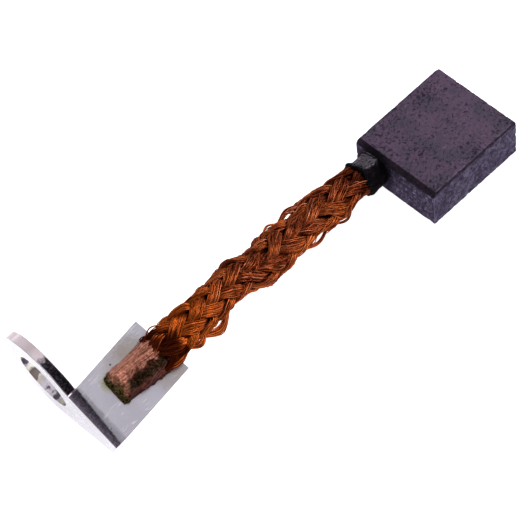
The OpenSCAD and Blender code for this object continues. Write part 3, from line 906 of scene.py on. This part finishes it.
def wire_tree():
    """Geometry Nodes: lays wires side by side along a path, each one wandering a little."""
    tree = bpy.data.node_groups.new("wires along a bundle", "GeometryNodeTree")
    for name, kind in (("Path", "Geometry"), ("Wires", "Int"), ("Wire radius", "Float"), ("Wander", "Float"),
                       ("Seed", "Int"), ("Material", "Material")):
        tree.interface.new_socket(name, in_out="INPUT", socket_type="NodeSocket" + kind)
    tree.interface.new_socket("Wires", in_out="OUTPUT", socket_type="NodeSocketGeometry")
    given = add(tree, "NodeGroupInput").node.outputs
    curve = add(tree, "GeometryNodeMeshToCurve", Mesh=given["Path"])
    many = add(tree, "GeometryNodeDuplicateElements", Geometry=curve, Amount=given["Wires"], domain="SPLINE")
    index = many.node.outputs["Duplicate Index"]
    along, across, lift = (
        add(tree, "GeometryNodeInputNamedAttribute", Name=name, data_type=kind)
        for name, kind in (("along", "FLOAT"), ("across", "FLOAT_VECTOR"), ("lift", "FLOAT_VECTOR"))
    )
    # each wire's own place in the bundle: even over a disc
    out = add(tree, "DIVIDE", add(tree, "ADD", index, 0.5), given["Wires"])
    out = add(tree, "POWER", out, 0.5)
    turn = add(tree, "MULTIPLY", index, GOLDEN_ANGLE)
    own = add(tree, "MULTIPLY_ADD", index, WAVES_APART, given["Seed"])
    # a few wires stray much further than the rest
    tone = add(tree, "FunctionNodeRandomValue", ID=own, Seed=given["Seed"], data_type="FLOAT", read=1)
    stray = add(tree, "MULTIPLY_ADD", add(tree, "POWER", tone, STRAY_RARITY), STRAY_FURTHEST, STRAY_LEAST)
    stray = add(tree, "MULTIPLY", stray, given["Wander"])
    shifts = []
    for part, wave, apart in (("COSINE", 0.32, 0.0), ("SINE", 0.45, 40.0)):
        fixed = add(tree, "MULTIPLY", add(tree, part, turn), out)
        where = add(tree, "ShaderNodeCombineXYZ", add(tree, "MULTIPLY", along, wave), own, apart)
        drift = add(tree, "SUBTRACT", add(tree, "noise", where, 1.0, 1.0), 0.5)
        shifts.append(add(tree, "MULTIPLY_ADD", add(tree, "MULTIPLY", drift, stray), 2.0, fixed))
    offset = add(tree, "moved", add(tree, "scaled", across, shifts[0]), add(tree, "scaled", lift, shifts[1]))
    placed = add(tree, "GeometryNodeSetPosition", Geometry=many, Offset=offset)
    marked = add(tree, "GeometryNodeStoreNamedAttribute", Geometry=placed, Name="wire", Value=tone,
                 data_type="FLOAT", domain="POINT")
    ring = add(tree, "GeometryNodeCurvePrimitiveCircle", Resolution=5, Radius=given["Wire radius"])
    mesh = add(tree, "GeometryNodeCurveToMesh", Curve=marked, Profile_Curve=ring, Fill_Caps=True)
    smooth = add(tree, "GeometryNodeSetShadeSmooth", Geometry=mesh, Shade_Smooth=True)
    real = add(tree, "GeometryNodeRealizeInstances", Geometry=smooth)
    coated = add(tree, "GeometryNodeSetMaterial", Geometry=real, Material=given["Material"])
    add(tree, "NodeGroupOutput", Wires=coated)
    return tree


def with_wires(piece, tree, material, wires, radius, wander, seed):
    """Runs the wire tree on a path object and leaves the plain mesh."""
    modifier = piece.modifiers.new("wires", "NODES")
    modifier.node_group = tree
    values = {"Wires": wires, "Wire radius": radius, "Wander": wander, "Seed": seed, "Material": material}
    for item in tree.interface.items_tree:
        if item.in_out == "INPUT" and item.name in values:
            modifier[item.identifier] = values[item.name]
    applied(piece)


# ---------------------------------------------------------------- operators

# Wear of the block: how far it reaches in from an edge, in mm, how much deeper than the wear its chips are,
# and the depth of its pits and of its grain, in mm
EDGE_REACH = 0.4
CHIP_DEPTH = 3.0
PIT_DEPTH = 0.16
GRAIN_DEPTH = 0.008


class BRUSH_OT_block(bpy.types.Operator):
    """Wear and pit the pressed block"""

    bl_idname = "brush.block"
    bl_label = "Pressed block"

    def execute(self, context):
        block = context.scene.brush_block
        piece = remeshed("carbon_block", "worn_block", block.voxel, 1, 0.35)
        low, high = (np.array(v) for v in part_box("carbon_block"))
        points, normals, mm = surface_of(piece)
        depth = np.sort(np.minimum(points - low, high - points), axis=1)
        edge = np.exp(-(depth[:, 1] / (EDGE_REACH * MM)) ** 2)
        wear = np.clip(noise_at(mm, 0.9, 2) - 0.05, 0, 1) * edge
        chips = np.clip(noise_at(mm, 2.0, 5) - 0.22, 0, 1) * edge
        pits = np.clip(noise_at(mm, 1.9, 8) - 0.33, 0, 1)
        move = block.edge_wear * (wear + CHIP_DEPTH * chips) + PIT_DEPTH * MM * pits
        move += GRAIN_DEPTH * MM * noise_at(mm, 3.0, 3)
        set_points(piece.data, np.clip(points - normals * move[:, None], low, high))
        finish_piece(piece, graphite_material(block), "graphite", "carbon_block")
        return {"FINISHED"}


# The cement collar, in mm: where it leaves the block, where its rim starts, the radius around the lead that
# stays smooth, its lumps as height, scale and seed, the side on which it is thinner, by how much, and how
# deep a hollow may be
COLLAR_START = -8.1
COLLAR_RIM = -10.2
COLLAR_INSIDE = 2.2
COLLAR_LUMPS = ((0.3, 0.75, 11), (0.14, 1.9, 12))
THIN_WAY = np.array([0.892, 0.451])
THINNING = 0.5
DEEPEST_HOLLOW = -0.36


class BRUSH_OT_cement(bpy.types.Operator):
    """Make the tamped cement collar lumpy"""

    bl_idname = "brush.cement"
    bl_label = "Cement collar"

    def execute(self, context):
        block = context.scene.brush_block
        piece = remeshed("lead_cement", "cement_collar", block.cement_step, 2)
        points, normals, mm = surface_of(piece)
        off = mm[:, 1:] - np.array([RIM.y, RIM.z])
        away = np.hypot(off[:, 0], off[:, 1])
        free = ease((COLLAR_START - mm[:, 0]) / 0.3) * ease((away - COLLAR_INSIDE) / 0.2)
        rim = ease((COLLAR_RIM - mm[:, 0]) / 0.8)
        lumps = (lumpy(mm, COLLAR_LUMPS) - 0.04) * free * (0.6 + 0.6 * rim)
        # less cement was pressed in on the upper left
        thin = ease(off @ THIN_WAY / away.clip(0.1) / 0.9)
        lumps -= THINNING * free * ease((mm[:, 0] + 10.9) / 1.2) * thin
        lumps = np.maximum(lumps, DEEPEST_HOLLOW)
        set_points(piece.data, points + normals * (lumps * MM)[:, None])
        finish_piece(piece, cement_material(block), "cement", "lead_cement")
        return {"FINISHED"}


class BRUSH_OT_braid(bpy.types.Operator):
    """Lay the fine copper wires of the sixteen bundles"""

    bl_idname = "brush.braid"
    bl_label = "Braided wires"

    def execute(self, context):
        lead = context.scene.brush_lead
        line = LeadLine()
        tree = wire_tree()
        copper = wire_material(lead)
        for name, way in (("left", 1), ("right", -1)):
            for index in range(1, BUNDLES_EACH_WAY + 1):
                piece = path_object(f"wires_{name}_{index}", bundle_path(line, way, index, lead.rings))
                with_wires(piece, tree, copper, lead.wires, lead.wire_d / 2, lead.wander, index + (way > 0) * 10)
                finish_piece(piece, copper, "copper_wire", f"bundle_{name}_{index}")
        for number, spot in enumerate(SLACK_SPOTS):
            piece = path_object(f"loose_wires_{number + 1}", loop_path(line, spot, number, lead.loop_rings))
            with_wires(piece, tree, copper, spot[6], lead.wire_d / 2, lead.loop_wander, 40 + number)
            finish_piece(piece, copper, "copper_wire")
        clad(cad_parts["lead_root"], copper)
        return {"FINISHED"}


# The welded slug: its unevenness as height in mm, scale and seed, how many grooves go round it, how high the
# lumps on its burnt flank stand, how far its back sinks, and how much its whole skin is drawn in, in mm
SLUG_UNEVEN = ((0.26, 0.6, 21), (0.07, 2.6, 22))
GROOVES_ROUND = 46
FLANK_LUMPS = 0.42
BACK_SINK = 0.3
SKIN_INSET = 0.02


class BRUSH_OT_slug(bpy.types.Operator):
    """Groove and crust the welded slug"""

    bl_idname = "brush.slug"
    bl_label = "Welded slug"

    def execute(self, context):
        slug = context.scene.brush_slug
        piece = remeshed("weld_slug", "welded_slug", slug.voxel, 3)
        points, normals, mm = surface_of(piece)
        local = slug_points(mm)
        ahead, across, height = local.T
        front = ease((1.6 - ahead) / 1.0)
        back = ease((ahead - 3.0) / 5.0)
        crust = (0.5 * np.abs(noise_at(mm, 1.5, 23)) + 0.2 * noise_at(mm, 3.6, 25) - 0.04) * front
        around = np.arctan2(height, across) * GROOVES_ROUND + 2.2 * noise_at(mm, 0.7, 24)
        groove = -slug.groove / MM * (0.5 + 0.5 * np.cos(around)) * (0.25 + 0.75 * back)
        flank = ease((-across - 0.6) / 1.2) * ease((ahead - 1.0) / 2.0)
        lumps = FLANK_LUMPS * noise_at(mm, 1.1, 26) * flank
        # the back sinks a little, so that the bundles come out of it one by one
        sink = -BACK_SINK * ease((ahead - 6.3) / 1.5)
        above = ease(height / 0.5)
        move = above * (lumpy(mm, SLUG_UNEVEN) + crust + groove + lumps + sink) - SKIN_INSET
        low, high = (np.array(v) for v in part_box("weld_slug"))
        set_points(piece.data, np.clip(points + normals * (move * MM)[:, None], low, high))
        store(piece.data, "place", "FLOAT_VECTOR", local)
        finish_piece(piece, slug_material(slug), "welded_copper", "weld_slug")
        return {"FINISHED"}


class BRUSH_OT_terminal(bpy.types.Operator):
    """Soften the edges of the bent sheet"""

    bl_idname = "brush.terminal"
    bl_label = "Sheet terminal"

    def execute(self, context):
        terminal = context.scene.brush_terminal
        piece = merged_copy("terminal", "sheet_terminal")
        work = bmesh.new()
        work.from_mesh(piece.data)
        bmesh.ops.dissolve_limit(work, angle_limit=math.radians(0.4), verts=work.verts, edges=work.edges)
        work.to_mesh(piece.data)
        work.free()
        soft = piece.modifiers.new("soft edges", "BEVEL")
        soft.width = terminal.edge
        soft.segments = 3
        soft.limit_method = "ANGLE"
        soft.angle_limit = math.radians(30)
        even = piece.modifiers.new("even normals", "WEIGHTED_NORMAL")
        even.mode = "FACE_AREA"
        even.weight = 90
        piece.data.shade_smooth()
        applied(piece)
        store(piece.data, "place", "FLOAT_VECTOR", terminal_points(points_of(piece.data) / MM))
        finish_piece(piece, tin_material(terminal), "tinned_sheet", "terminal")
        return {"FINISHED"}


# The sky's brightness by height, from level to straight up, then on its bright side, and where it is seen
SKY = ((0.0, 0.04), (0.5, 0.07), (0.74, 0.2), (0.88, 0.76), (1.0, 0.82))
SKY_BESIDE = 0.88
BACKDROP = 0.93
# the lamp and what it is aimed at, and the camera, its right and its up, in metres
LAMP_PLACE = Vector((0.44, -0.14, 0.34))
LAMP_AIM = Vector((-0.03, 0, 0))
CAMERA_PLACE = Vector((-228.42, -221.98, 427.55)) * MM
CAMERA_RIGHT = Vector((0.69131, -0.72009, -0.05968))
CAMERA_UP = Vector((0.61263, 0.54034, 0.57682))


class BRUSH_OT_stage(bpy.types.Operator):
    """Add the floor, the lamp, the sky and the camera"""

    bl_idname = "brush.stage"
    bl_label = "Stage"

    def execute(self, context):
        stage = context.scene.brush_stage
        floor_mesh = bpy.data.meshes.new("floor")
        corners = [(x * stage.reach, y * stage.reach, 0) for x, y in ((-1, -1), (1, -1), (1, 1), (-1, 1))]
        floor_mesh.from_pydata(corners, [], [(0, 1, 2, 3)])
        floor = bpy.data.objects.new("floor", floor_mesh)
        context.scene.collection.objects.link(floor)
        material, _, shader = new_material("matt pale floor")
        shader.inputs["Base Color"].default_value = stage.floor
        shader.inputs["Roughness"].default_value = 0.9
        shader.inputs["Emission Color"].default_value = stage.floor
        shader.inputs["Emission Strength"].default_value = stage.glow
        floor_mesh.materials.append(material)

        world = bpy.data.worlds.new("studio")
        world.use_nodes = True
        tree = world.node_tree
        tree.nodes.clear()
        direction = add(tree, "ShaderNodeTexCoord", read="Generated")
        _, beside, height = add(tree, "ShaderNodeSeparateXYZ", direction).node.outputs
        tones = add(tree, "ShaderNodeValToRGB", height)
        stops = tones.node.color_ramp.elements
        while len(stops) < len(SKY):
            stops.new(0.5)
        for stop, (position, brightness) in zip(stops, SKY):
            stop.position = position
            stop.color = grey(brightness)
        tones = add(tree, "mix", add(tree, "mask", beside, 0.35, 0.9, 0.8), tones, grey(SKY_BESIDE))
        sky = add(tree, "ShaderNodeBackground", tones)
        backdrop = add(tree, "ShaderNodeBackground", grey(BACKDROP))
        seen = add(tree, "ShaderNodeLightPath", read="Is Camera Ray")
        add(tree, "ShaderNodeOutputWorld", Surface=add(tree, "ShaderNodeMixShader", seen, sky, backdrop))
        context.scene.world = world

        light = bpy.data.lights.new("key light", "AREA")
        light.energy = stage.lamp_power
        light.size = stage.lamp_size
        lamp = bpy.data.objects.new("key light", light)
        lamp.location = LAMP_PLACE
        lamp.rotation_euler = (LAMP_AIM - LAMP_PLACE).to_track_quat("-Z", "Y").to_euler()
        context.scene.collection.objects.link(lamp)

        camera_data = bpy.data.cameras.new("camera")
        camera_data.lens = stage.lens
        camera_data.sensor_width = 36
        camera_data.clip_start = 0.01
        camera = bpy.data.objects.new("camera", camera_data)
        turned = Matrix((CAMERA_RIGHT, CAMERA_UP, Vector(VIEW_BACK))).transposed().to_4x4()
        camera.matrix_world = Matrix.Translation(CAMERA_PLACE) @ turned
        context.scene.collection.objects.link(camera)
        context.scene.camera = camera
        context.scene.view_settings.view_transform = "Standard"
        return {"FINISHED"}


class BRUSH_PT_panel(bpy.types.Panel):
    """Lists the steps that dress the brush"""

    bl_idname = "BRUSH_PT_panel"
    bl_label = "Carbon Brush"
    bl_space_type = "VIEW_3D"
    bl_region_type = "UI"
    bl_category = "Carbon Brush"

    def draw(self, context):
        for step in STEPS:
            self.layout.operator(step.bl_idname)
        for name, group in SETTINGS.items():
            box = self.layout.box()
            box.label(text=group.__doc__)
            for key in group.__annotations__:
                box.prop(getattr(context.scene, name), key)


STEPS = (BRUSH_OT_block, BRUSH_OT_cement, BRUSH_OT_braid, BRUSH_OT_slug, BRUSH_OT_terminal, BRUSH_OT_stage)
CLASSES = (*SETTINGS.values(), *STEPS, BRUSH_PT_panel)


def register():
    for cls in CLASSES:
        bpy.utils.register_class(cls)
    for name, group in SETTINGS.items():
        setattr(bpy.types.Scene, name, bpy.props.PointerProperty(type=group))


def unregister():
    for name in SETTINGS:
        delattr(bpy.types.Scene, name)
    for cls in reversed(CLASSES):
        bpy.utils.unregister_class(cls)


def dress():
    register()
    for step in STEPS:
        group, name = step.bl_idname.split(".")
        getattr(getattr(bpy.ops, group), name)()


if __name__ == "__main__":
    dress()
